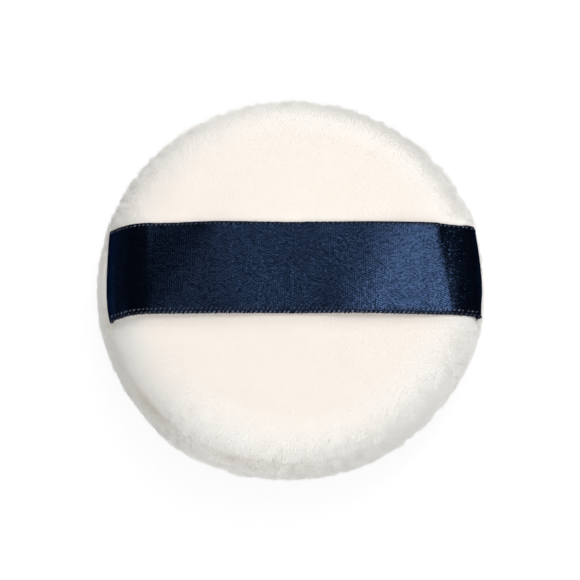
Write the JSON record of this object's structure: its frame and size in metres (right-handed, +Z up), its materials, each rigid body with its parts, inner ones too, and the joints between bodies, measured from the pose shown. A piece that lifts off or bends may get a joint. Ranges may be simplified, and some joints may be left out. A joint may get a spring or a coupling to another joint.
{
  "type": "powder puff",
  "caption": "Round padded velour powder puff with a satin ribbon across its back that lifts so the fingers slip under it.",
  "frame": {"origin": "centre of the flat powder face, on the surface that the puff lies on", "axes": "+Z up from the powder face through the back, +X along the ribbon, +Y across it"},
  "size_m": [0.076, 0.0786, 0.0199],
  "materials": {
    "velour": "dense cream cut pile, matt with a soft bloom at the rim",
    "foam": "open-cell cushion foam, matt off-white",
    "wadding": "loose white polyester wadding",
    "thread": "cream spun sewing thread",
    "satin": "navy double-face satin with woven edges and a soft gloss"
  },
  "bodies": {
    "pad": {"face_cover": "velour", "back_cover": "velour", "foam_core": "foam", "upper_wadding": "wadding", "lower_wadding": "wadding", "rim_seam_thread": "thread", "closing_seam_thread": "thread", "ribbon_end_right": "satin", "ribbon_end_left": "satin"},
    "ribbon": {"ribbon_band": "satin"}
  },
  "joints": [
    {"name": "ribbon_lift", "type": "slide", "parent": "pad", "child": "ribbon", "axis": [0, 0, 1], "range_m": [0, 0.008], "deforming": ["ribbon_end_right", "ribbon_end_left"]}
  ]
}
